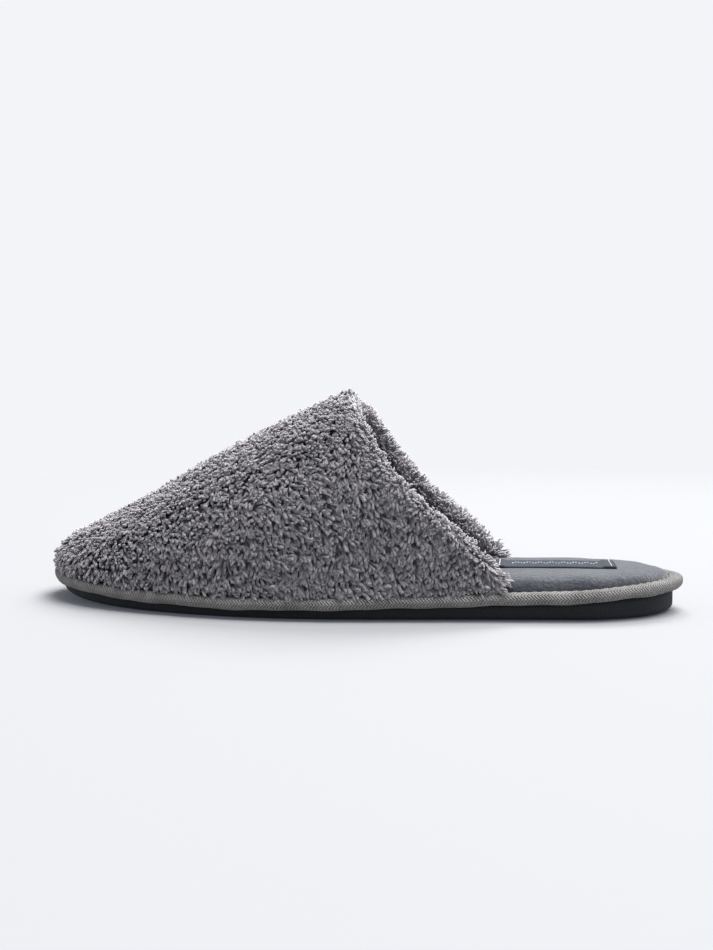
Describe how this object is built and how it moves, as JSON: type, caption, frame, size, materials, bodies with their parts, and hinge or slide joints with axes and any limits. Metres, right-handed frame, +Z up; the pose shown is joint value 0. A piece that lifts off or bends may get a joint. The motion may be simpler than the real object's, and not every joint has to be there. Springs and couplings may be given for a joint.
{
  "type": "fuzzy slipper",
  "caption": "Backless plush slipper for the left foot: curly pile vamp open at the collar, padded footbed with a bare woven label, taped rim and thin dark sole.",
  "frame": {"origin": "on the floor, in the middle of the slipper's length, on the flat underside of the sole", "axes": "+X from the toe to the heel, -Y to the outer side of the foot, +Z up"},
  "size_m": [0.288, 0.1144, 0.0937],
  "materials": {
    "sole_fabric": "matt, near black, fine slanting weave pressed into the wall",
    "binding_tape": "warm grey woven tape with a herringbone",
    "insole_plush": "cool grey short nap",
    "upper_pile": "mid grey curly pile in pointed locks, paler at the collar",
    "label_weave": "dark blue-grey satin weave, bare"
  },
  "bodies": {
    "root": {"outsole": "sole_fabric", "edge_binding": "binding_tape", "insole": "insole_plush", "upper": "upper_pile", "label": "label_weave"}
  },
  "joints": []
}
